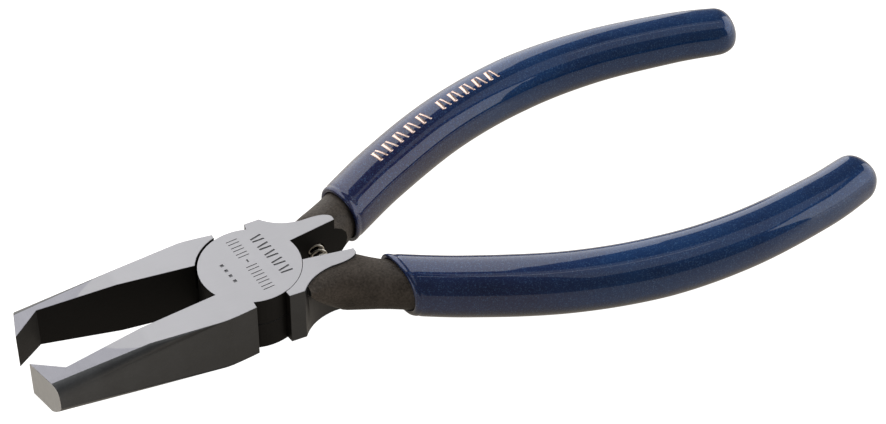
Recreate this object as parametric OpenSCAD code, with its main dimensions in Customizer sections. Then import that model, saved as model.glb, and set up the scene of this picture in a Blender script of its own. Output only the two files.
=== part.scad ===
// Grozing pliers for glass work: two forged halves crossed at a round lap joint,
// a flush rivet, a coil return spring and two dipped vinyl grips.
// X runs from the jaws (-X) to the handles (+X), Z is up, and the pivot axis is at the origin.
// The pliers lie flat with the jaws open as far as the relaxed spring holds them.

/* [Head] */
// Thickness of the head between its two flat faces
head_t = 10.1; // [9.8:0.1:10.6]
// Diameter of the two discs of the lap joint
joint_d = 16.3; // [16:0.1:16.6]
// Clearance between a disc's edge and the recess in the other half's jaw
recess_gap = 0.35; // [0.2:0.05:0.4]
// Clearance between a disc's edge and the recess in the other half's handle root
root_gap = 0.1; // [0.08:0.02:0.2]
// Clearance between the two discs, face to face
lap_gap = 0.06; // [0.04:0.02:0.1]

/* [Jaws] */
// Distance from the pivot to the lips' edges
jaw_reach = 37.3; // [36.5:0.1:38.5]
// Length of the bevelled lip along the jaw
lip_length = 4.6; // [4:0.1:5]
// Distance from the centreline to a lip's edge
lip_open = 3.02; // [2.9:0.02:3.1]
// Distance from the centreline to a jaw's inner face behind its lip
throat_open = 6.55; // [6.3:0.05:6.7]
// How much each face of the tip is ground away at the end
tip_drop = 1.85; // [1.4:0.05:2.2]
// Lean of the tip's end face from square, in degrees
end_lean = 15.3; // [10:0.1:20]

/* [Arms] */
// Width of the bare arm, in plan
arm_w = 7.5; // [7.2:0.1:7.8]
// Height of the bare arm
arm_h = 7.4; // [7.2:0.1:7.8]
// How far both arms lean to the far side, in degrees
arm_skew = 0.6; // [0:0.1:1]

/* [Grips] */
// Width of a grip near its start, in plan
grip_w = 9.2; // [9:0.1:9.6]
// Height of a grip near its start
grip_h = 9.1; // [9:0.1:9.5]
// Share of its width and height that a grip loses by its end
grip_taper = 0.13; // [0.05:0.01:0.15]
// Share of its width and height that a grip gains where a palm rests on it
grip_swell = 0.03; // [0:0.01:0.05]
// Thickness of the vinyl over the steel core
vinyl_t = 0.9; // [0.8:0.1:1.1]
// How far a grip's closed end sits below the middle, as a share of the height that it has lost
cap_droop = 0.35; // [0:0.05:0.5]

/* [Rivet] */
// Diameter of the rivet's shank
rivet_d = 6; // [5:0.1:6.5]
// Diameter of the rivet's countersunk ends
rivet_head_d = 7.6; // [7.2:0.1:8]
// Radial clearance of the rivet in the half that turns on it
rivet_gap = 0.03; // [0.02:0.01:0.06]

/* [Return spring] */
// Outer diameter of the coil
spring_d = 2.65; // [2.6:0.05:3.2]
// Diameter of its wire
wire_d = 0.4; // [0.35:0.01:0.5]
// Turns of the coil
spring_turns = 11; // [9:1:12]
// Distance of the coil's axis from the pivot
spring_x = 12.6; // [12:0.1:12.8]
// Distance from the centreline to the bottom of a spring seat
seat_depth_y = 6; // [5.5:0.1:6.2]

/* [Hidden] */

mid_z = head_t / 2;
joint_r = joint_d / 2;
jaw_recess_r = joint_r + recess_gap;
root_recess_r = joint_r + root_gap;
seat_r = spring_d / 2 + 0.2;
rivet_head_h = 0.9;
over = 1;
polished = "#b9bac2";
brass_wire = "#b3a67c";
navy_vinyl = "#1c2850";

// Jaw outline in plan, for the jaw on the +Y side
heel_x = -2.6;
heel_y = 8.9;
flank_x = -8;
flank_y = 9.5;
inner_slope = 0.116;
lip_root_x = -jaw_reach + lip_length;
side_y_at_tip = 10.45;
taper_x = -20;

// Handle root outline in plan, for the root on the +Y side
shoulder_x = 2.7;
shoulder_y = 8.9;
root_inner_slope = 0.152;
root_inner_y = 2.14;
root_inner_x = 6.5;
root_end_x = 16.1;

// Centreline of the arm on the +Y side, from inside the root to the middle of the end cap
arm_path = [[5.5, 5.3], [12, 5.4], [18, 8.05], [30, 14.7], [45, 21.2],
            [60, 24.8], [75, 25.4], [90, 23.5], [98.2, 21.5]];
core_end = 7.7;
// Where each dipped sleeve starts along arm_path, and how far its rim leans from square to the arm
far_rim_at = 2.15;
far_rim_lean = 16;
near_rim_at = 2.29;
near_rim_lean = 35;
end_cap = 3.8;
section_power = 2.3;
root_power = 3.2;
root_rise = 1.1;
sides = 24;

// Quadratic curve from a to c that leaves and arrives towards b
function bend(a, b, c, steps) =
    [for (i = [0:steps]) let (u = i / steps) (1 - u) * (1 - u) * a + 2 * u * (1 - u) * b + u * u * c];

// Smooth curve through four points in turn, at share u between the middle two
function blend4(a, b, c, d, u) =
    0.5 * (2 * b + (c - a) * u + (2 * a - 5 * b + 4 * c - d) * u * u + (3 * b - a - 3 * c + d) * u * u * u);

// Place on the arm's centreline; s counts along the points of arm_path
function on_path(s) =
    let (last = len(arm_path) - 1, k = max(0, min(floor(s), last - 1)))
    blend4(arm_path[max(k - 1, 0)], arm_path[k], arm_path[k + 1], arm_path[min(k + 2, last)], s - k);

function heading(s) = let (v = on_path(s + 0.02) - on_path(s - 0.02)) v / norm(v);

// Signed power, for rounded-square sections
function spow(v, p) = sign(v) * pow(abs(v), p);

// Section of width w and height h round the centreline at s, pushed along the centreline by push
// and turned in plan by lean degrees from square to it. A higher power makes it squarer, and aside
// moves it off the centreline.
function section(s, w, h, z, push = 0, lean = 0, power = section_power, aside = 0) =
    let (c = on_path(s), t = heading(s), p = 2 / power)
    [for (i = [0:sides - 1])
        let (a = 360 * i / sides,
             across = aside + w / 2 * spow(cos(a), p),
             ahead = push + across * tan(lean))
        [c.x + t.x * ahead - t.y * across, c.y + t.y * ahead + t.x * across, z + h / 2 * spow(sin(a), p)]];

// Size of a grip at s as a share of its size at its start
function grip_size(s) =
    lookup(s, [[2, 1], [3.5, 1 + grip_swell], [5, 1 + grip_swell], [6.5, 0.95], [8, 1 - grip_taper]]);

// Closed skin over a list of equal rings
module skin(rings) {
    n = len(rings[0]);
    last = len(rings) - 1;
    walls = [for (r = [0:last - 1], i = [0:n - 1], half = [0, 1])
        let (j = (i + 1) % n, a = r * n, b = a + n)
        half == 0 ? [a + i, b + i, b + j] : [a + i, b + j, a + j]];
    caps = [[for (i = [0:n - 1]) i], [for (i = [n - 1:-1:0]) last * n + i]];
    polyhedron(points = [for (ring = rings, p = ring) p], faces = concat(walls, caps), convexity = 6);
}

module on_side(side) {
    if (side > 0) children();
    else mirror([0, 1, 0]) children();
}

// Cross-section of the jaw's blank at x: square towards the heel, and rounded on its outer side
// towards the tip, more at the lower edge than at the upper one
module blank_slice(x, upper_y, lower_y, side_y, half_h) {
    upper_power = 3.2;
    lower_power = 1.35;
    upper = [for (a = [90:-9:0]) [upper_y + (side_y - upper_y) * spow(cos(a), 2 / upper_power),
                                  half_h * spow(sin(a), 2 / upper_power)]];
    lower = [for (a = [-9:-9:-90]) [lower_y + (side_y - lower_y) * spow(cos(a), 2 / lower_power),
                                    half_h * spow(sin(a), 2 / lower_power)]];
    translate([x, 0, mid_z]) rotate([90, 0, 90]) linear_extrude(0.01)
        polygon(concat([[0, -half_h], [0, half_h]], upper, lower));
}

module square_slice(x, side_y) {
    translate([x, 0, 0]) cube([0.01, side_y, head_t]);
}

// The jaw on the +Y side, with its bevelled lip
module jaw() {
    tip = [-jaw_reach, lip_open];
    reach_out = 12;
    inner_x = -6;
    inner_y = throat_open - inner_slope * (inner_x - lip_root_x);
    intersection() {
        hull() {
            square_slice(-1, 9.29);
            square_slice(flank_x, flank_y);
            blank_slice(taper_x, 8.74, 8.25, 9.9, mid_z);
            blank_slice(-jaw_reach - 0.7, 7.6, 7.4, side_y_at_tip, mid_z - tip_drop);
        }
        translate([0, 0, -over]) linear_extrude(head_t + 2 * over) polygon([
            [lip_root_x, throat_open],
            tip,
            tip + reach_out * [sin(end_lean), cos(end_lean)],
            [flank_x - 6, flank_y + 5],
            each bend([flank_x - 4, flank_y + 0.3], [flank_x + 1, flank_y + 0.1], [heel_x, heel_y], 6),
            [heel_x, joint_r - 3],
            [inner_x, inner_y]]);
    }
}

// The full-thickness root of the handle on the +Y side, with its scalloped outer edge. It runs past
// its flat inner face, which is cut later.
module root() {
    flank_end = [5.4, 8.95];
    scallop_end = [11.5, 5.75];
    linear_extrude(head_t) polygon(concat(
        [[root_inner_x, root_inner_y - 1], [shoulder_x, joint_r - 3], [shoulder_x, joint_r - 0.4],
         [shoulder_x + 0.15, shoulder_y]],
        bend(flank_end, [7.5, 6.15], scallop_end, 10),
        bend(scallop_end, [15.4, 5.9], [root_end_x, 4.5], 8),
        [[root_end_x, root_inner_y + root_inner_slope * (root_end_x - root_inner_x) - 1]]));
}

// The forged arm on the +Y side. At the root it is wider inwards and squarer, its lower face is nearly
// flush with the head's, and its upper face climbs out of the scallop.
module arm() {
    steps = 40;
    first = 0.15;
    climb_end = 1.2;
    skin([for (i = [0:steps])
        let (s = first + (core_end - first) * i / steps,
             hidden = max(0, min(1, (s - 2) / 0.5)),
             root = max(0, min(1, (2.1 - s) / 0.7)),
             climb = 6.4 * pow(max(0, climb_end - s) / (climb_end - first), 1.6),
             upper_rise = 0.4 * max(0, min(1, (s - 1) / 0.4, (2.1 - s) / 0.4)),
             w = (1 - hidden) * (arm_w + 0.7 * root) + hidden * (grip_w * grip_size(s) - 2 * vinyl_t),
             h = (1 - hidden) * arm_h + hidden * (grip_h * grip_size(s) - 2 * vinyl_t),
             low = mid_z - h / 2 - root_rise * root,
             high = mid_z + h / 2 + upper_rise - climb,
             power = section_power + (root_power - section_power) * max(0, min(1, (1.7 - s) / 1.2)))
        section(s, w, high - low, (low + high) / 2, 0, 0, power, -0.35 * root)]);
}

// Space on the +Y side of the flat inner face of a root
module outside_inner_face() {
    translate([root_inner_x, root_inner_y, -over]) rotate([0, 0, atan(root_inner_slope)])
        translate([-20, 0, 0]) cube([140, 40, head_t + 2 * over]);
}

// Room for the other half's disc
module recess() {
    h = mid_z + over + lap_gap / 2;
    translate([0, 0, -over]) cylinder(r = root_recess_r, h = h, $fn = 96);
    translate([0, 0, -over]) intersection() {
        cylinder(r = jaw_recess_r, h = h, $fn = 96);
        translate([-20, -20, 0]) cube([20, 40, h]);
    }
}

// One forging: a jaw on the near side, the upper disc of the lap joint and an arm on the far side
module forging(skew, gap) {
    bore_r = rivet_d / 2 + gap;
    sink_r = rivet_head_d / 2 + gap;
    difference() {
        union() {
            on_side(-1) jaw();
            intersection() {
                union() {
                    root();
                    rotate([0, 0, skew]) arm();
                }
                outside_inner_face();
            }
            cylinder(r = joint_r, h = head_t, $fn = 96);
        }
        recess();
        translate([0, 0, -over]) cylinder(r = bore_r, h = head_t + 2 * over, $fn = 64);
        translate([0, 0, head_t - rivet_head_h]) cylinder(r1 = bore_r, r2 = sink_r, h = rivet_head_h, $fn = 64);
        translate([spring_x, 0, mid_z]) rotate([-90, 0, 0]) cylinder(r = seat_r, h = seat_depth_y, $fn = 48);
    }
}

module near_half() {
    color(polished) forging(arm_skew, 0);
}

// The same forging turned over
module far_half() {
    color(polished) translate([0, 0, head_t]) rotate([180, 0, 0]) forging(-arm_skew, rivet_gap);
}

module pivot_rivet() {
    color(polished) rotate_extrude($fn = 64) polygon([
        [0, 0], [rivet_head_d / 2, 0], [rivet_d / 2, rivet_head_h],
        [rivet_d / 2, head_t - rivet_head_h], [rivet_head_d / 2, head_t], [0, head_t]]);
}

// Coil along Y between the two seats, with closed end turns
module return_spring() {
    per_turn = 14;
    wire_sides = 8;
    coil_r = (spring_d - wire_d) / 2;
    half_length = seat_depth_y - 0.05 - wire_d / 2;
    count = spring_turns * per_turn;
    open_turns = spring_turns - 2;
    pitch = (2 * half_length - 2 * 1.02 * wire_d) / open_turns;
    rings = [for (i = [0:count])
        let (turn = i / per_turn, a = 360 * turn,
             closed = min(turn, 1) + max(0, turn - spring_turns + 1),
             y = -half_length + closed * 1.02 * wire_d + (turn - closed) * pitch)
        [for (k = [0:wire_sides - 1])
            let (b = 360 * k / wire_sides, r = coil_r + wire_d / 2 * cos(b))
            [spring_x + r * cos(a), y + wire_d / 2 * sin(b), mid_z + r * sin(a)]]];
    color(brass_wire) skin(rings);
}

// Sleeve on the +Y arm: a leaning rim with a rounded lip, a long tapering body and a domed end
module grip_body(rim_at, rim_lean) {
    body_steps = 40;
    cap_steps = 7;
    last = len(arm_path) - 1;
    lip = [[0, 0.9], [0.02, 0.97], [0.06, 1]];
    start = [for (step = lip)
        section(rim_at + step[0], grip_w * step[1], grip_h * step[1], mid_z, 0, rim_lean)];
    body = [for (i = [1:body_steps])
        let (u = i / body_steps,
             s = rim_at + 0.06 + (last - rim_at - 0.06) * u,
             scale = grip_size(s))
        section(s, grip_w * scale, grip_h * scale, mid_z, 0, rim_lean * pow(max(0, 1 - 5 * u), 2))];
    cap = [for (i = [1:cap_steps])
        let (a = 88 * i / cap_steps, scale = (1 - grip_taper) * pow(cos(a), 0.8),
             drop = cap_droop * grip_h * (1 - grip_taper - scale) / 2)
        section(last, grip_w * scale, grip_h * scale, mid_z - drop, end_cap * sin(a))];
    skin(concat(start, body, cap));
}

module far_grip() {
    color(navy_vinyl) rotate([0, 0, arm_skew]) difference() {
        grip_body(far_rim_at, far_rim_lean);
        arm();
    }
}

module near_grip() {
    color(navy_vinyl) rotate([0, 0, arm_skew]) on_side(-1) difference() {
        grip_body(near_rim_at, near_rim_lean);
        arm();
    }
}

near_half();
far_half();
pivot_rivet();
return_spring();
far_grip();
near_grip();
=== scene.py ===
import math

import bmesh
import bpy
import numpy as np
from mathutils import Matrix, Vector


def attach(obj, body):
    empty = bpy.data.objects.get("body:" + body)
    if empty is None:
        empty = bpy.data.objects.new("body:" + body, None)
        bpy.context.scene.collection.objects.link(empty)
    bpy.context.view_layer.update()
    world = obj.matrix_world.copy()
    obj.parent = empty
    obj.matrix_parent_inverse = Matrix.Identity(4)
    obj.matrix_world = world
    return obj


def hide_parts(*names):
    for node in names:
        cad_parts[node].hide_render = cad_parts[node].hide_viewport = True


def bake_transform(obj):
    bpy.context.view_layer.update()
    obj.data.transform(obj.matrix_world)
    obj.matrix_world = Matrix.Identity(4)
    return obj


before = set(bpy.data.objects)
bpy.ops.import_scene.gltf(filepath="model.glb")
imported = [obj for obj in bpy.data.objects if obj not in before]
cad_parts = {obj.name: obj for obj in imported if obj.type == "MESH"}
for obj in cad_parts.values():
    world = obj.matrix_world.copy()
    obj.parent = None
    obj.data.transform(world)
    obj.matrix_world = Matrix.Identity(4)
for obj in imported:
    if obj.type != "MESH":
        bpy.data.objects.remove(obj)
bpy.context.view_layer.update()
MM = 0.001

# ---------------------------------------------------------------- sizes, in millimetres, as in the CAD
HEAD_T = 10.1
MID_Z = HEAD_T / 2
# The arms are turned outwards by this much, and their sleeves with them
SKEW = math.radians(0.6)
# The sleeves' width and height near their rims, a hair under the CAD's, and their wall
GRIP_W, GRIP_H = 9.19, 9.09
VINYL = 0.9
# Exponent of the sleeves' rounded section, and how many points go around it
POWER, AROUND = 2.3, 72
# Length of a sleeve's closed end, and how far it sits low, as a share of the height that it has lost
END_CAP, CAP_DROOP = 3.795, 0.35
# Middle line of the +Y arm: a smooth curve through these points, with a place along it counted in points
ARM_PATH = [(5.5, 5.3), (12, 5.4), (18, 8.05), (30, 14.7), (45, 21.2),
            (60, 24.8), (75, 25.4), (90, 23.5), (98.2, 21.5)]
LAST = len(ARM_PATH) - 1
# A sleeve's size along the path: the place, and the share of its full width and height
SIZE_S = [2, 3.5, 5, 6.5, 8]
SIZE_K = [1, 1.03, 1.03, 0.95, 0.87]
# Where the sleeves' rims are on the path, and how far they lean, in degrees
FAR_RIM, NEAR_RIM = (2.15, 16), (2.29, 35)
# A rounded rim, from the bore out to the skin: steps along the path, and shares of the full size
RIM_CURVE = [(0.0, 0.865), (-0.004, 0.885), (-0.007, 0.91), (-0.007, 0.94),
             (-0.003, 0.965), (0.005, 0.984), (0.016, 0.995), (0.030, 0.999)]
STAMP_DEEP = 0.1
# Rows of plain marks on the upper disc: where each row starts and ends, how tall its marks are, and for
# each mark its place along the row, its slant in degrees, its share of the height and its thickness
STAMP_ROWS = [
    ((3.36, 4.96), (4.63, -3.23), 2.0,
     [(0.25 * i + d, slant, 1.0, 0.32) for i in range(5) for d, slant in ((-0.05, 7), (0.05, -7))]),
    ((-0.37, 5.89), (0.73, -5.40), 1.9,
     [(i / 7 + d, 0, 1.0, 0.15) for i in (0, 1, 2, 4, 5, 6, 7) for d in (-0.032, 0.032)]
     + [(3 / 7, 90, 0.35, 0.26)]),
    ((-3.92, 1.77), (-3.38, -2.17), 0.55,
     [(i / 3, 0, 1.0, 0.55) for i in range(4)]),
]
# Limits that tell a half's faces apart. From the hinge's axis: the rivet's end, the marks, the disc's rim,
# and the recess round another disc. Along X: the tips' end faces, the backs of the lips, the faces that
# slope down to the tips, the roots, and the end of the roots' upright sides
RIVET_R, MARKS_R, RIM_R, RECESS_R = 4.2, 8.0, 8.35, 8.7
END_X, LIP_X, SLOPE_X, ROOT_X, ROOT_END_X = -34, -32.6, -19.5, 5.6, 16.2
# How much the sloping faces look along X, and how near a plane counts as on it
SLOPE_LOOK, TOLERANCE = 0.1022, 0.02
# The halves' edges look smooth below the first angle and are bevelled above the second, in degrees
SMOOTH_BELOW, BEVEL_ABOVE = 24, 32
BEVEL = 0.09
# Points of a mesh that are closer than this, in metres, are one
WELD = 2e-6
# Return spring: the coil's outer diameter, its wire, its axis along X, its seats' depth along Y, its turns
SPRING_D, WIRE_D, SPRING_X, SEAT_Y, TURNS = 2.65, 0.4, 12.6, 6.0, 11
# Foil marks: places along the path of the first pair of bars in each group, and the step between pairs
FOIL_GROUPS, FOIL_STEP, FOIL_PAIRS = (2.96, 3.97), 0.177, 5
# The two bars of a pair: offset and width along the arm, height across it, and slant in degrees
FOIL_BARS = [(-0.62, 0.8, 2.3, 9), (0.55, 0.45, 2.3, -9)]
# Section of a bar: places across its width, from -1 to 1, and their heights over the vinyl
FOIL_SECTION = [(-1, 0.025), (0, 0.03), (1, 0.025), (1, -0.06), (-1, -0.06)]


# ---------------------------------------------------------------- node helpers
class Shader:
    """A material's node tree, with short ways to add and join nodes."""

    def __init__(self, name):
        self.material = bpy.data.materials.new(name)
        self.material.use_nodes = True
        self.tree = self.material.node_tree
        self.bsdf = self.tree.nodes["Principled BSDF"]
        self.where = self.node("ShaderNodeTexCoord").outputs["Object"]

    def node(self, kind, **values):
        made = self.tree.nodes.new(kind)
        for key, value in values.items():
            if hasattr(made, key):
                setattr(made, key, value)
            else:
                made.inputs[key.replace("_", " ")].default_value = value
        return made

    def link(self, a, b):
        self.tree.links.new(a, b)

    def set(self, **values):
        for key, value in values.items():
            self.bsdf.inputs[key.replace("_", " ")].default_value = value

    def math(self, operation, a, b=None):
        made = self.node("ShaderNodeMath", operation=operation)
        for socket, value in zip(made.inputs, (a, b)):
            if value is None:
                continue
            if isinstance(value, (int, float)):
                socket.default_value = value
            else:
                self.link(value, socket)
        return made.outputs[0]

    def axis(self, name):
        split = self.node("ShaderNodeSeparateXYZ")
        self.link(self.where, split.inputs[0])
        return split.outputs[name]

    def stretch(self, scale):
        """Object coordinates times scale, per metre along each axis."""
        mapping = self.node("ShaderNodeMapping")
        mapping.inputs["Scale"].default_value = scale
        self.link(self.where, mapping.inputs["Vector"])
        return mapping.outputs[0]

    def noise(self, scale, detail=3.0, roughness=0.55):
        made = self.node("ShaderNodeTexNoise", Scale=1.0, Detail=detail, Roughness=roughness)
        self.link(self.stretch(scale), made.inputs["Vector"])
        return made.outputs["Fac"]

    def cells(self, scale):
        made = self.node("ShaderNodeTexVoronoi", Scale=1.0, Randomness=1.0)
        self.link(self.stretch(scale), made.inputs["Vector"])
        return made

    def span(self, value, low, high, to_low=0.0, to_high=1.0):
        """Value from low..high to to_low..to_high, clamped."""
        made = self.node("ShaderNodeMapRange")
        self.link(value, made.inputs["Value"])
        for key, number in (("From Min", low), ("From Max", high),
                            ("To Min", to_low), ("To Max", to_high)):
            made.inputs[key].default_value = number
        return made.outputs["Result"]

    def mix(self, share, a, b):
        """Colour a where share is 0, colour b where it is 1."""
        made = self.node("ShaderNodeMix", data_type="RGBA")
        self.link(share, made.inputs["Factor"])
        for socket, value in ((made.inputs[6], a), (made.inputs[7], b)):
            if isinstance(value, tuple):
                socket.default_value = (*value, 1.0)
            else:
                self.link(value, socket)
        return made.outputs[2]

    def blend_numbers(self, share, a, b):
        """Number a where share is 0, number b where it is 1."""
        made = self.node("ShaderNodeMix")
        for key, value in (("Factor", share), (2, a), (3, b)):
            self.link(value, made.inputs[key])
        return made.outputs[0]

    def bump(self, height, strength, distance, under=None):
        made = self.node("ShaderNodeBump", Strength=strength, Distance=distance)
        self.link(height, made.inputs["Height"])
        if under is not None:
            self.link(under, made.inputs["Normal"])
        return made.outputs["Normal"]

    def done(self, colour=None, roughness=None, normal=None, metallic=None):
        for key, value in (("Base Color", colour), ("Roughness", roughness), ("Metallic", metallic)):
            if value is not None:
                self.link(value, self.bsdf.inputs[key])
        if normal is not None:
            self.link(normal, self.bsdf.inputs["Normal"])
        return self.material


def ground_steel():
    """Flat faces: fine grinding along the tool, and a coarser cross grind towards the tips."""
    s = Shader("ground_steel")
    s.set(Metallic=0.55)
    fine = s.noise((260, 9000, 9000), 4.0)
    scratch = s.noise((90, 3600, 3600), 2.0)
    cross = s.noise((5200, 420, 5200), 4.0)
    patch = s.noise((170, 170, 170), 3.0)
    # the cross grind starts at a line over the jaw, which swings back near the jaw's outer edge
    across = s.math("ABSOLUTE", s.axis("Y"))
    rise = s.math("POWER", s.span(across, 0.0055, 0.0090), 1.6)
    line = s.math("ADD", s.math("MULTIPLY", rise, 0.0055), -0.0262)
    past = s.math("SUBTRACT", line, s.axis("X"))
    wobble = s.math("MULTIPLY", s.math("SUBTRACT", patch, 0.5), 0.0006)
    tip = s.span(s.math("ADD", past, wobble), -0.0001, 0.0002)
    plain = s.mix(fine, (0.352, 0.349, 0.366), (0.392, 0.388, 0.406))
    shaded_slope = s.mix(fine, (0.318, 0.315, 0.331), (0.357, 0.353, 0.370))
    # painted shade: darker where the faces slope from X = -20 mm, evening out the light they catch
    plain = s.mix(s.span(s.axis("X"), -0.0206, -0.0196), shaded_slope, plain)
    both = s.math("MULTIPLY", s.math("ADD", cross, patch), 0.5)
    coarse = s.mix(both, (0.20, 0.198, 0.228), (0.41, 0.408, 0.442))
    smooth_rough = s.span(s.math("ADD", fine, s.math("MULTIPLY", patch, 0.6)), 0.4, 1.2, 0.30, 0.42)
    rough = s.blend_numbers(tip, smooth_rough, s.span(cross, 0.3, 0.7, 0.36, 0.55))
    grooves = s.math("ADD", s.math("MULTIPLY", fine, 0.5), s.math("MULTIPLY", scratch, 0.5))
    height = s.blend_numbers(tip, grooves, s.math("MULTIPLY", cross, 2.5))
    return s.done(s.mix(tip, plain, coarse), rough, s.bump(height, 0.35, 0.00001))


def end_steel():
    """The tips' end faces: ground square, a little warmer and duller."""
    s = Shader("end_steel")
    s.set(Metallic=0.45, Specular_IOR_Level=0.3, Specular_Tint=(0.4, 0.4, 0.4, 1))
    cross = s.noise((4200, 4200, 500), 4.0)
    patch = s.noise((500, 500, 500), 3.0)
    both = s.math("MULTIPLY", s.math("ADD", cross, patch), 0.5)
    colour = s.mix(both, (0.46, 0.462, 0.455), (0.66, 0.658, 0.645))
    return s.done(colour, s.span(patch, 0.3, 0.7, 0.52, 0.66), s.bump(cross, 0.4, 0.00002))


def times(colour, factor):
    return tuple(c * factor for c in colour)


def oxide_steel(name, low, high, specular, rough,
                grain=0.3, jaw=1.0, speckle=0.35, spread=0.18, under=1.0):
    """Black oxide over steel, mottled between the colours low and high, and slightly pitted.

    grain is the strength of the relief, speckle the share of fine mottling, and spread how soft the
    mottling is. jaw is what the colours are multiplied by towards the tips, and under is what they are
    multiplied by near the underside, which is painted shade.
    """
    s = Shader(name)
    s.set(Metallic=0.0, Specular_IOR_Level=specular)
    mottle = s.noise((260, 260, 260), 5.0, 0.6)
    fine = s.noise((2600, 2600, 2600), 4.0, 0.6)
    pits = s.cells((1500, 1500, 1500)).outputs["Distance"]
    tone = s.math("ADD", s.math("MULTIPLY", mottle, 1.0 - speckle), s.math("MULTIPLY", fine, speckle))
    share = s.span(tone, 0.5 - spread, 0.5 + spread)
    colour = s.mix(share, low, high)
    # painted shade: the colours are darker towards the underside, by the factor under
    if under != 1.0:
        shaded_underside = s.mix(share, times(low, under), times(high, under))
        colour = s.mix(s.span(s.axis("Z"), 0.0028, 0.0062), shaded_underside, colour)
    worn = s.span(s.noise((900, 900, 900), 6.0, 0.7), 0.66, 0.80)
    rubbed = tuple(min(1.0, c * 2.2 + 0.01) for c in high)
    colour = s.mix(s.math("MULTIPLY", worn, 0.35), colour, rubbed)
    # lighter towards the tips, fading out at the hinge
    if jaw != 1.0:
        lighter = s.mix(share, times(low, jaw), times(high, jaw))
        colour = s.mix(s.span(s.axis("X"), -0.034, 0.0), lighter, colour)
    roughness = s.span(tone, 0.3, 0.7, rough - 0.07, rough + 0.07)
    height = s.math("ADD", s.math("MULTIPLY", fine, 0.6), s.math("MULTIPLY", s.span(pits, 0.0, 0.35), 0.4))
    return s.done(colour, roughness, s.bump(height, grain, 0.00003 + 0.0001 * grain))


def worn_edge():
    """Bare steel along the corners, where the oxide has rubbed through."""
    s = Shader("worn_edge")
    s.set(Metallic=1.0)
    patch = s.noise((700, 700, 700), 4.0)
    colour = s.mix(s.span(patch, 0.35, 0.65), (0.46, 0.46, 0.47), (0.82, 0.82, 0.84))
    return s.done(colour, s.span(patch, 0.3, 0.7, 0.22, 0.36), s.bump(patch, 0.1, 0.00001))


def stamped_steel():
    """Floor and sides of the stamped marks."""
    s = Shader("stamped_steel")
    s.set(Metallic=0.6)
    patch = s.noise((2200, 2200, 2200), 4.0)
    return s.done(s.mix(patch, (0.08, 0.08, 0.085), (0.20, 0.20, 0.21)), s.span(patch, 0.3, 0.7, 0.4, 0.6),
                  s.bump(patch, 0.3, 0.00002))


def vinyl():
    """Dipped navy vinyl: clear gloss over a base full of fine blue flake.

    Painted light: by the head its base is duller, more violet on the +Y sleeve and steel blue on the -Y
    one, and bluer further along; painted shade makes it darker and greyer along the underside.
    """
    s = Shader("navy_vinyl")
    s.set(Specular_IOR_Level=0.0, Coat_Weight=1.0, Coat_Roughness=0.03, Coat_IOR=1.5)
    flake = s.cells((9000, 9000, 9000))
    split = s.node("ShaderNodeSeparateColor")
    s.link(flake.outputs["Color"], split.inputs[0])
    spark = s.math("MULTIPLY", s.math("POWER", split.outputs[0], 9.0), 0.40)
    large = s.node("ShaderNodeSeparateColor")
    s.link(s.cells((5600, 5600, 5600)).outputs["Color"], large.inputs[0])
    spark = s.math("MAXIMUM", spark, s.math("MULTIPLY", s.math("POWER", large.outputs[1], 16.0), 0.38))
    cloud = s.noise((110, 110, 110), 4.0)
    far = s.mix(s.span(cloud, 0.35, 0.65), (0.0022, 0.0225, 0.094), (0.0038, 0.0340, 0.124))
    near = s.mix(s.span(cloud, 0.35, 0.65), (0.0060, 0.0066, 0.046), (0.0090, 0.0110, 0.064))
    # painted light: more violet by the head on the +Y sleeve, steel blue on the -Y one, bluer further
    # along
    along = s.math("ADD", s.axis("X"), s.math("MULTIPLY", s.math("SUBTRACT", cloud, 0.5), 0.012))
    steel_blue = s.mix(s.span(cloud, 0.35, 0.65), (0.0070, 0.0150, 0.066), (0.0105, 0.0215, 0.086))
    near = s.mix(s.span(s.axis("Y"), 0.0, -0.004), near, steel_blue)
    tone = s.mix(s.span(along, 0.036, 0.054), near, far)
    # painted shade: darker and greyer along the underside, below Z = 4.6 mm
    tone = s.mix(s.span(s.axis("Z"), 0.0028, 0.0046), (0.0085, 0.0078, 0.0125), tone)
    colour = s.mix(spark, tone, (0.09, 0.19, 0.37))
    metal = s.span(split.outputs[1], 0.0, 1.0, 0.35, 0.75)
    rough = s.span(cloud, 0.3, 0.7, 0.38, 0.48)
    ripple = s.noise((60, 60, 60), 2.0)
    normal = s.bump(ripple, 0.10, 0.0002)
    s.link(normal, s.bsdf.inputs["Coat Normal"])
    grain = s.bump(split.outputs[2], 0.10, 0.00003, normal)
    return s.done(colour, rough, grain, metal)


def foil():
    """Hot-pressed copper foil, a little worn."""
    s = Shader("copper_foil")
    s.set(Metallic=1.0)
    patch = s.noise((900, 900, 900), 5.0, 0.65)
    colour = s.mix(s.span(patch, 0.3, 0.7), (0.72, 0.50, 0.42), (0.95, 0.78, 0.70))
    return s.done(colour, s.span(patch, 0.3, 0.7, 0.25, 0.45), s.bump(patch, 0.2, 0.00001))


def spring_wire():
    """Drawn wire, bright with a yellow cast."""
    s = Shader("spring_wire")
    s.set(Metallic=1.0)
    drawn = s.noise((2500, 2500, 2500), 4.0)
    colour = s.mix(s.span(drawn, 0.3, 0.7), (0.42, 0.39, 0.34), (0.72, 0.68, 0.60))
    return s.done(colour, s.span(drawn, 0.3, 0.7, 0.24, 0.40), s.bump(drawn, 0.15, 0.00001))


GROUND = ground_steel()
END = end_steel()
FLANK = oxide_steel("oxide_flank", (0.0165, 0.0172, 0.0182), (0.028, 0.0295, 0.031), 0.46, 0.40, jaw=2.3)
# painted shade: the faces in the disc's recess and between the jaws get a far darker oxide than the flanks
SHADED_INNER = oxide_steel("oxide_inner_painted_shade", (0.0045, 0.0043, 0.004), (0.010, 0.0092, 0.0082), 0.12, 0.5)
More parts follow.
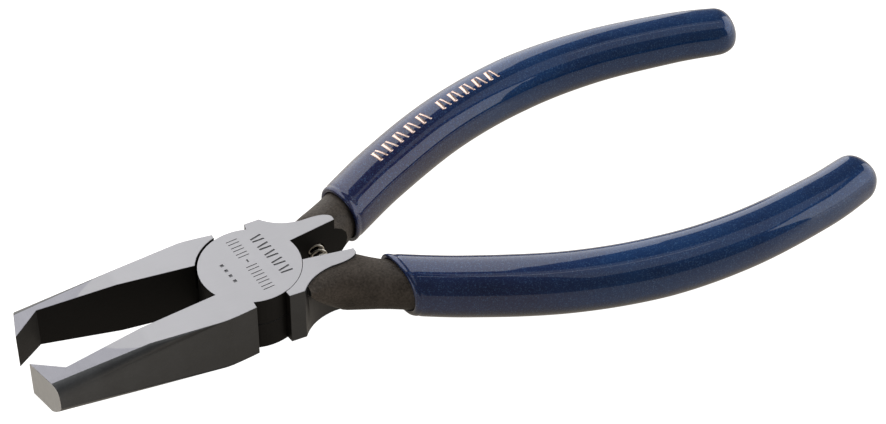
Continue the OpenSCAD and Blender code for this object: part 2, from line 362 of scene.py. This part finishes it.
# painted shade: under=0.40 darkens the forged faces towards the underside
FORGED = oxide_steel("oxide_forged", (0.036, 0.0295, 0.0240), (0.110, 0.0915, 0.0765), 0.14, 0.46,
                     grain=1.0, speckle=0.55, spread=0.17, under=0.40)
# painted shade: the backs of the lips get a darker oxide than the flanks
SHADED_LIP = oxide_steel("oxide_lip_painted_shade", (0.008, 0.008, 0.0078), (0.018, 0.0175, 0.0165), 0.22, 0.5)
EDGE = worn_edge()
STAMP = stamped_steel()
NAVY = vinyl()
FOIL = foil()
WIRE = spring_wire()
# Materials of a half, and the place of each in the list; those in FLAT_SLOTS are shaded flat
HALF_SLOTS = [GROUND, END, FLANK, SHADED_INNER, FORGED, SHADED_LIP, EDGE, STAMP]
ON_GROUND, ON_END, ON_FLANK, ON_INNER, ON_FORGED, ON_LIP, ON_EDGE, ON_STAMP = range(8)
FLAT_SLOTS = {ON_GROUND, ON_END, ON_INNER, ON_LIP}


# ---------------------------------------------------------------- mesh helpers
def new_object(name, mesh, materials):
    made = bpy.data.objects.new(name, mesh)
    bpy.context.collection.objects.link(made)
    for m in materials:
        mesh.materials.append(m)
    return made


def bake_modifiers(obj):
    """Applies the object's modifiers to its mesh."""
    graph = bpy.context.evaluated_depsgraph_get()
    mesh = bpy.data.meshes.new_from_object(obj.evaluated_get(graph), depsgraph=graph)
    obj.modifiers.clear()
    obj.data = mesh
    return obj


def skin(name, rings, material):
    """Closed smooth skin over equal rings of points in millimetres."""
    count = len(rings[0])
    points = [tuple(c * MM for c in p) for ring in rings for p in ring]
    faces = []
    for r in range(len(rings) - 1):
        a, b = r * count, (r + 1) * count
        for i in range(count):
            j = (i + 1) % count
            faces.append((a + i, b + i, b + j, a + j))
    last = (len(rings) - 1) * count
    faces.append(tuple(range(count)))
    faces.append(tuple(last + i for i in reversed(range(count))))
    mesh = bpy.data.meshes.new(name)
    mesh.from_pydata(points, [], faces)
    mesh.validate()
    made = new_object(name, mesh, [material])
    work = bmesh.new()
    work.from_mesh(mesh)
    bmesh.ops.recalc_face_normals(work, faces=work.faces)
    work.to_mesh(mesh)
    work.free()
    for polygon in mesh.polygons:
        polygon.use_smooth = True
    return made


# ---------------------------------------------------------------- arm and grip curves
def on_path(s):
    """Point of the arm's middle line at place s."""
    k = max(0, min(math.floor(s), LAST - 1))
    u = s - k
    a, b, c, d = (np.array(ARM_PATH[i], float) for i in (max(k - 1, 0), k, k + 1, min(k + 2, LAST)))
    square, cube = 2 * a - 5 * b + 4 * c - d, 3 * b - a - 3 * c + d
    return 0.5 * (2 * b + (c - a) * u + square * u * u + cube * u ** 3)


def heading(s):
    """Unit vector along the middle line at place s."""
    v = on_path(s + 0.02) - on_path(s - 0.02)
    return v / np.linalg.norm(v)


def signed_power(v, p):
    return math.copysign(abs(v) ** p, v)


def section(s, w, h, push=0.0, lean=0.0, drop=0.0):
    """Ring across the path at s, w wide and h high, leaning, and moved ahead by push and down by drop."""
    c, t = on_path(s), heading(s)
    ring = []
    for i in range(AROUND):
        a = 2 * math.pi * i / AROUND
        across = w / 2 * signed_power(math.cos(a), 2 / POWER)
        ahead = push + across * math.tan(lean)
        ring.append((c[0] + t[0] * ahead - t[1] * across, c[1] + t[1] * ahead + t[0] * across,
                     MID_Z - drop + h / 2 * signed_power(math.sin(a), 2 / POWER)))
    return ring


def placed(rings, side):
    """Rings of the +Y arm, moved to its side and turned with the arms' skew."""
    c, s = math.cos(SKEW), math.sin(SKEW)
    return [[(x * c - side * y * s, x * s + side * y * c, z) for x, y, z in ring] for ring in rings]


def grip_size(s):
    """Share of a sleeve's full size at place s."""
    return float(np.interp(s, SIZE_S, SIZE_K))


def sleeve(name, side, rim_at, lean_deg):
    """Hollow sleeve: its bore up to the rim, the rounded rim, then its outside back to the closed end."""
    lean = math.radians(lean_deg)
    end_size = grip_size(LAST)
    rings = []

    def lean_at(u):
        """The rim's lean, which fades along the sleeve."""
        return lean * max(0.0, 1 - 5 * u) ** 2

    def cap_ring(angle, wall, length):
        """Ring of the domed end, at an angle of 0 where it starts and 90 at its tip."""
        a = math.radians(angle)
        k = end_size * math.cos(a) ** 0.8
        w, h = (max(0.2, size * k - 2 * wall * math.cos(a)) for size in (GRIP_W, GRIP_H))
        return section(LAST, w, h, length * math.sin(a), drop=CAP_DROOP * GRIP_H * (end_size - k) / 2)

    for i in range(6):
        rings.append(cap_ring(88 - 16 * i, VINYL, END_CAP - VINYL))
    for i in range(40, -1, -1):
        u = i / 40
        s = rim_at + 0.02 + (LAST - rim_at - 0.02) * u
        k = grip_size(s)
        rings.append(section(s, GRIP_W * k - 2 * VINYL, GRIP_H * k - 2 * VINYL, 0, lean_at(u)))
    for step, scale in RIM_CURVE:
        rings.append(section(rim_at + step, GRIP_W * scale, GRIP_H * scale, 0, lean))
    for i in range(1, 181):
        u = (i / 180) ** 1.4
        s = rim_at + 0.035 + (LAST - rim_at - 0.035) * u
        # a shallow dip just behind the rim's bead
        k = grip_size(s) * (1 - 0.016 * math.exp(-(((s - rim_at) - 0.085) / 0.030) ** 2))
        rings.append(section(s, GRIP_W * k, GRIP_H * k, 0, lean_at(u)))
    for i in range(1, 19):
        rings.append(cap_ring(88 * i / 18, 0.0, END_CAP))
    return skin(name, placed(rings, side), NAVY)


def foil_bars(name, side, bars):
    """Thin closed slabs of foil pressed into a sleeve; each bar is its place along the path, its offset
    and width along the arm, its height across and its slant in degrees, all in millimetres."""

    def point(s, along, across, lift):
        k = grip_size(s)
        half_w, half_h = GRIP_W * k / 2 + lift, GRIP_H * k / 2 + lift
        c, t = on_path(s), heading(s)
        return (c[0] + t[0] * along - t[1] * across, c[1] + t[1] * along + t[0] * across,
                MID_Z + half_h * (1 - abs(across / half_w) ** POWER) ** (1 / POWER))

    parts = []
    for s, offset, width, tall, slant in bars:
        rings = []
        for j in range(13):
            across = tall * (j / 12 - 0.5)
            middle = offset + across * math.tan(math.radians(slant))
            rings.append([point(s, middle + side_step * width / 2, across, lift)
                          for side_step, lift in FOIL_SECTION])
        parts.append(skin(name, placed(rings, side), FOIL))
    work = bmesh.new()
    for part in parts:
        work.from_mesh(part.data)
    made = parts[0]
    work.to_mesh(made.data)
    work.free()
    for part in parts[1:]:
        bpy.data.objects.remove(part)
    return made


# ---------------------------------------------------------------- forged halves
def is_stamped(z):
    """Whether a face this high, in millimetres, is inside a stamped mark."""
    return HEAD_T - 2 * STAMP_DEEP < z < HEAD_T - TOLERANCE


def classify(centre, normal):
    """Material index of a face of a half, from where it is and which way it looks."""
    x, y, z = (c / MM for c in centre)
    side = math.copysign(1, y)
    from_axis = math.hypot(x, y)
    if from_axis < MARKS_R and is_stamped(z):
        return ON_STAMP
    if abs(normal.z) > 0.9999 and (abs(z) < TOLERANCE or abs(z - HEAD_T) < TOLERANCE):
        return ON_GROUND
    if x < SLOPE_X and abs(normal.z) > 0.99 and abs(abs(normal.x) - SLOPE_LOOK) < 0.01:
        return ON_GROUND
    if x < END_X and normal.x < -0.9:
        return ON_END
    if x < LIP_X and normal.x > 0.5:
        return ON_LIP
    if from_axis < RECESS_R and abs(normal.z) < 0.5:
        return ON_INNER
    between = (x < -5 or 6 < x < 19) and abs(y) < 9
    if between and normal.y * side < -0.9 and abs(normal.z) < 0.1:
        return ON_INNER
    upright = abs(normal.z) < 0.02
    if x > ROOT_X and from_axis > RECESS_R and not (upright and x < ROOT_END_X):
        return ON_FORGED
    return ON_FLANK


def share_bevel(mesh):
    """Gives the bevel's faces the look of their neighbours, and bare steel only beside a ground face."""
    work = bmesh.new()
    work.from_mesh(mesh)
    work.faces.ensure_lookup_table()
    waiting = [f for f in work.faces if f.material_index == ON_EDGE]
    kept_bare = len(HALF_SLOTS)
    for _ in range(6):
        later, found = [], []
        for face in waiting:
            others = (o for e in face.edges for o in e.link_faces if o is not face)
            near = {o.material_index for o in others} - {ON_EDGE}
            if not near:
                later.append(face)
            elif ON_END in near:
                found.append((face, kept_bare))
            elif ON_GROUND in near:
                found.append((face, ON_GROUND))
            else:
                found.append((face, min(near, key=lambda m: (m != ON_FLANK, m))))
        for face, m in found:
            face.material_index = m
        waiting = later
    for face in work.faces:
        if face.material_index == kept_bare:
            face.material_index = ON_EDGE
    work.to_mesh(mesh)
    work.free()


def stamps():
    """Cutter for the rows of plain marks on the upper disc."""
    work = bmesh.new()

    def bar(x, y, turn, length, thick):
        place = Matrix.Translation(Vector((x, y, HEAD_T)) * MM) @ Matrix.Rotation(turn, 4, "Z")
        place @= Matrix.Diagonal(Vector((length, thick, 2 * STAMP_DEEP, 1 / MM)) * MM)
        bmesh.ops.create_cube(work, size=1.0, matrix=place)

    for start, end, tall, marks in STAMP_ROWS:
        start, end = Vector(start), Vector(end)
        turn = math.atan2(end.y - start.y, end.x - start.x)
        for share, slant, size, thick in marks:
            at = start.lerp(end, share)
            bar(at.x, at.y, turn + math.radians(90 + slant), tall * size, thick)
    mesh = bpy.data.meshes.new("stamps")
    work.to_mesh(mesh)
    work.free()
    return new_object("stamps", mesh, [])


def engraved(obj, cutter):
    """Cuts the cutter out of the object's mesh, whose doubled points are merged first."""
    work = bmesh.new()
    work.from_mesh(obj.data)
    bmesh.ops.remove_doubles(work, verts=work.verts, dist=WELD)
    bmesh.ops.recalc_face_normals(work, faces=work.faces)
    work.to_mesh(obj.data)
    work.free()
    cut = obj.modifiers.new("stamps", "BOOLEAN")
    cut.operation = "DIFFERENCE"
    cut.solver = "EXACT"
    cut.object = cutter
    return bake_modifiers(obj)


def forged_half(node, name, cutter=None):
    """A half from its CAD mesh: marks cut in, a material for each face, and small bevels on corners."""
    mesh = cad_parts[node].data.copy()
    mesh.materials.clear()
    made = new_object(name, mesh, HALF_SLOTS)
    if cutter:
        mesh = engraved(made, cutter).data
    work = bmesh.new()
    work.from_mesh(mesh)
    bmesh.ops.remove_doubles(work, verts=work.verts, dist=WELD)
    bmesh.ops.dissolve_degenerate(work, edges=work.edges, dist=WELD / 2)
    bmesh.ops.dissolve_limit(work, angle_limit=math.radians(0.15), verts=work.verts, edges=work.edges,
                             use_dissolve_boundaries=False, delimit=set())
    bmesh.ops.recalc_face_normals(work, faces=work.faces)
    for face in work.faces:
        face.material_index = classify(face.calc_center_median(), face.normal)
        face.smooth = face.material_index not in FLAT_SLOTS
    weight = work.edges.layers.float.new("bevel_weight_edge")
    for edge in work.edges:
        kinds = {f.material_index for f in edge.link_faces}
        angle = edge.calc_face_angle(0.0)
        edge.smooth = angle < math.radians(SMOOTH_BELOW) and not kinds & (FLAT_SLOTS | {ON_STAMP})
        from_axis = max(math.hypot(v.co.x, v.co.y) for v in edge.verts) / MM
        # the narrow gap round a disc, on the arms' side, keeps its sharp edges
        hairline = from_axis < RIM_R and min(v.co.x for v in edge.verts) > 2.5 * MM
        shows = kinds & {ON_GROUND, ON_END, ON_FLANK, ON_LIP} and ON_STAMP not in kinds
        if angle > math.radians(BEVEL_ABOVE) and from_axis > RIVET_R and shows and not hairline:
            edge[weight] = 1.0
    work.to_mesh(mesh)
    work.free()
    bevel = made.modifiers.new("corners", "BEVEL")
    bevel.limit_method = "WEIGHT"
    bevel.width = BEVEL * MM
    bevel.segments = 2
    bevel.material = ON_EDGE
    bevel.use_clamp_overlap = False
    bevel.harden_normals = True
    bake_modifiers(made)
    share_bevel(made.data)
    return made


marks = stamps()
near_half = forged_half("near_half", "upper_half", marks)
far_half = forged_half("far_half", "lower_half")
for half, node, body in ((near_half, "near_half", "upper_lever"), (far_half, "far_half", "lower_lever")):
    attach(half, body)
    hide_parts(node)

rivet = new_object("rivet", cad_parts["pivot_rivet"].data.copy(), [])
rivet.data.materials.clear()
for m in (GROUND, STAMP):
    rivet.data.materials.append(m)
engraved(rivet, marks)
for polygon in rivet.data.polygons:
    polygon.material_index = int(is_stamped(polygon.center.z / MM))
    polygon.use_smooth = False
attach(rivet, "upper_lever")
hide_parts("pivot_rivet")
bpy.data.objects.remove(marks)

far_grip = sleeve("far_sleeve", 1, *FAR_RIM)
near_grip = sleeve("near_sleeve", -1, *NEAR_RIM)
for grip, node, body in ((far_grip, "far_grip", "upper_lever"), (near_grip, "near_grip", "lower_lever")):
    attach(grip, body)
    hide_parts(node)
bars = []
for group in FOIL_GROUPS:
    for i in range(FOIL_PAIRS):
        s = group + FOIL_STEP * i
        bars += [(s, *bar) for bar in FOIL_BARS]
foil_marks = foil_bars("foil_marks", 1, bars)
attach(foil_marks, "upper_lever")


# ---------------------------------------------------------------- return spring
def coil():
    """Coil along Y, with one closed turn at each end."""
    per_turn, wire_sides = 40, 14
    closed_pitch = 1.02 * WIRE_D
    coil_r = (SPRING_D - WIRE_D) / 2
    half_length = SEAT_Y - 0.05 - WIRE_D / 2
    pitch = (2 * half_length - 2 * closed_pitch) / (TURNS - 2)
    rings = []
    for i in range(TURNS * per_turn + 1):
        turn = i / per_turn
        a = 2 * math.pi * turn
        closed = min(turn, 1) + max(0, turn - TURNS + 1)
        y = -half_length + closed * closed_pitch + (turn - closed) * pitch
        ring = []
        for k in range(wire_sides):
            b = 2 * math.pi * k / wire_sides
            r = coil_r + WIRE_D / 2 * math.cos(b)
            ring.append((SPRING_X + r * math.cos(a), y + WIRE_D / 2 * math.sin(b),
                         MID_Z + r * math.sin(a)))
        rings.append(ring)
    return skin("coil_spring", rings, WIRE)


spring = coil()
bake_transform(spring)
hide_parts("return_spring")


# ---------------------------------------------------------------- floor, light and camera
def floor_material():
    """Pale floor, white to the camera, that gives the tool a softer and warmer grey reflection."""
    s = Shader("pale_floor")
    s.set(Base_Color=(0.30, 0.28, 0.255, 1), Roughness=0.2, Specular_IOR_Level=0.6)
    path = s.node("ShaderNodeLightPath")
    seen = path.outputs["Is Camera Ray"]
    s.link(s.mix(seen, (1.0, 0.89, 0.76), (1.0, 1.0, 1.0)), s.bsdf.inputs["Emission Color"])
    s.link(s.span(seen, 0.0, 1.0, 0.40, 1.1), s.bsdf.inputs["Emission Strength"])
    return s.material


def floor():
    """A flat square, just below the tool so that their faces don't coincide."""
    mesh = bpy.data.meshes.new("floor")
    r = 4.0
    mesh.from_pydata([(-r, -r, 0), (r, -r, 0), (r, r, 0), (-r, r, 0)], [], [(0, 1, 2, 3)])
    made = new_object("floor", mesh, [floor_material()])
    made.location.z = -0.00002


def soft_box(name, place, width, height, radiance):
    """A rectangular light of even brightness, facing down until it is turned."""
    data = bpy.data.lights.new(name, "AREA")
    data.shape = "RECTANGLE"
    data.size, data.size_y = width, height
    data.energy = radiance * math.pi * width * height
    made = bpy.data.objects.new(name, data)
    bpy.context.collection.objects.link(made)
    made.location = place
    made.visible_camera = False
    return made


def panel(name, azimuth, distance, width, low, high, radiance):
    """An upright soft box at that azimuth (from +Y towards +X), reaching from height low to high."""
    a = math.radians(azimuth)
    away = Vector((math.sin(a), math.cos(a), 0))
    place = Vector((0.03, 0, (low + high) / 2)) + away * distance
    made = soft_box(name, place, width, high - low, radiance)
    made.rotation_euler = away.to_track_quat("Z", "Y").to_euler()


floor()
# the window spans azimuths -48 to 32
panel("back_window", -8, 1.8, 3.0, 0.02, 5.6, 1.9)
panel("right_box", 98, 1.5, 2.3, 0.04, 1.35, 1.7)
panel("left_edge", -98, 1.5, 0.9, 0.0, 0.8, 1.3)
soft_box("top_strip", (0.2, 0.0, 1.2), 0.9, 0.035, 1.6)
soft_box("overhead", (0.9, -0.5, 1.9), 1.6, 1.8, 0.50)

# Room: white behind the tool, dim grey for every reflection
world = bpy.data.worlds.new("studio")
bpy.context.scene.world = world
world.use_nodes = True
background = world.node_tree.nodes["Background"]
path = world.node_tree.nodes.new("ShaderNodeLightPath")
shade = world.node_tree.nodes.new("ShaderNodeMix")
shade.data_type = "RGBA"
shade.inputs[6].default_value = (0.17, 0.17, 0.17, 1)
shade.inputs[7].default_value = (1, 1, 1, 1)
world.node_tree.links.new(path.outputs["Is Camera Ray"], shade.inputs["Factor"])
world.node_tree.links.new(shade.outputs[2], background.inputs["Color"])

# Camera: focal length in millimetres, then its three axes and its place
data = bpy.data.cameras.new("camera")
data.lens = 100.61
data.sensor_width = 36
data.clip_start, data.clip_end = 0.02, 20
camera = bpy.data.objects.new("camera", data)
bpy.context.collection.objects.link(camera)
RIGHT = Vector((0.894196, -0.447626, 0.006668))
UP = Vector((0.302785, 0.615693, 0.727491))
BACK = Vector((-0.329749, -0.648501, 0.686085))
PLACE = Vector((-97.281, -257.298, 279.694)) * MM
camera.matrix_world = Matrix.Translation(PLACE) @ Matrix((RIGHT, UP, BACK)).transposed().to_4x4()
bpy.context.scene.camera = camera

bpy.context.scene.view_settings.view_transform = "Standard"
